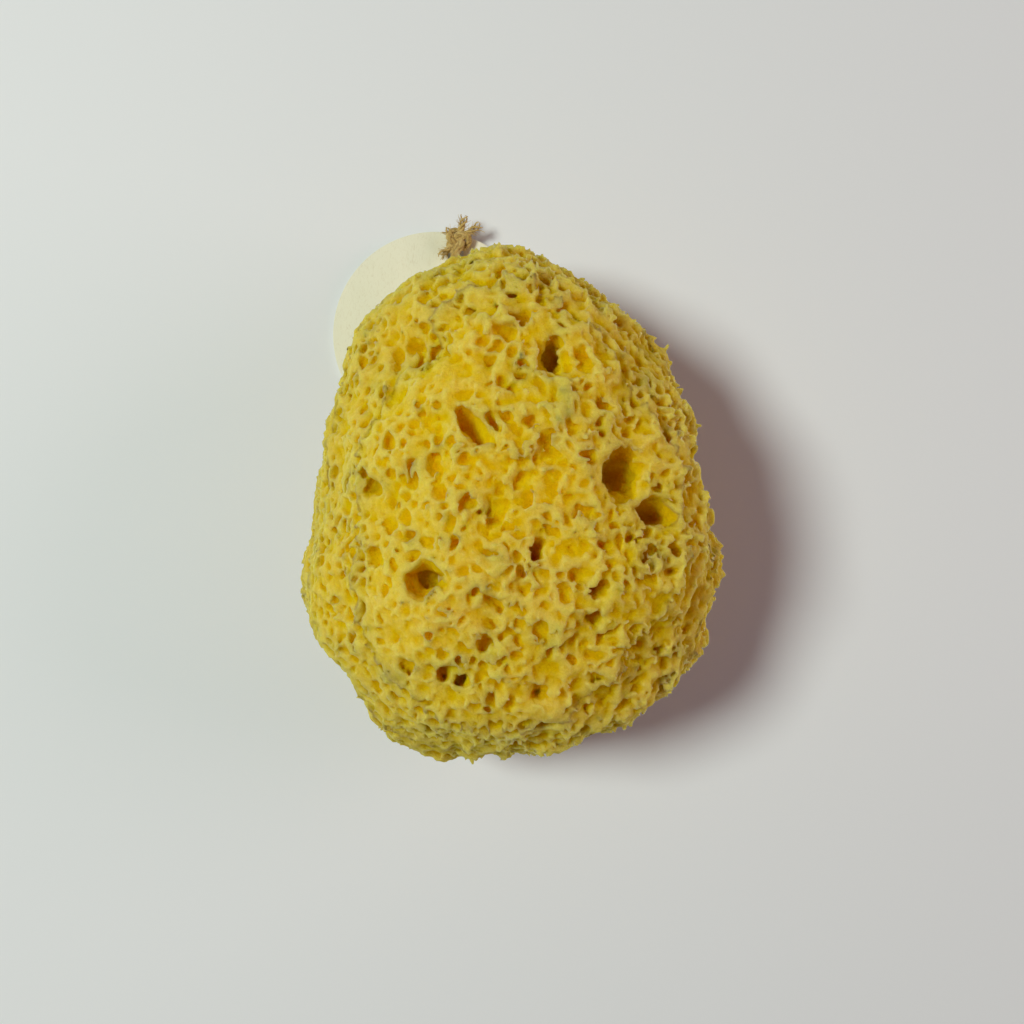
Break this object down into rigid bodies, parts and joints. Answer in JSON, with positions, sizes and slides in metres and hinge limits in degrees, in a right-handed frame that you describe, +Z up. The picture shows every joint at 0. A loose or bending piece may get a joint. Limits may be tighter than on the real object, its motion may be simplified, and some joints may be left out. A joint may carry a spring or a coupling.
{
  "type": "sea sponge",
  "caption": "Natural honeycomb bath sponge, a rounded pale yellow body full of pores and cut flat below, with a blank round card tag tied to it by knotted jute twine.",
  "frame": {"origin": "on the flat cut that the sponge rests on, under the middle of the sponge's plan", "axes": "+Z up from the resting face, +Y along the sponge's length towards the end with the tag, +X to the right of that"},
  "size_m": [0.103, 0.1402, 0.0763],
  "materials": {
    "sponge": "dry fibrous sponge skeleton, matte, full of pores",
    "card": "uncoated cream card, blank",
    "jute": "twisted jute twine with frayed ends"
  },
  "bodies": {
    "root": {"sponge": "sponge", "tag": "card", "twine": "jute"}
  },
  "joints": []
}
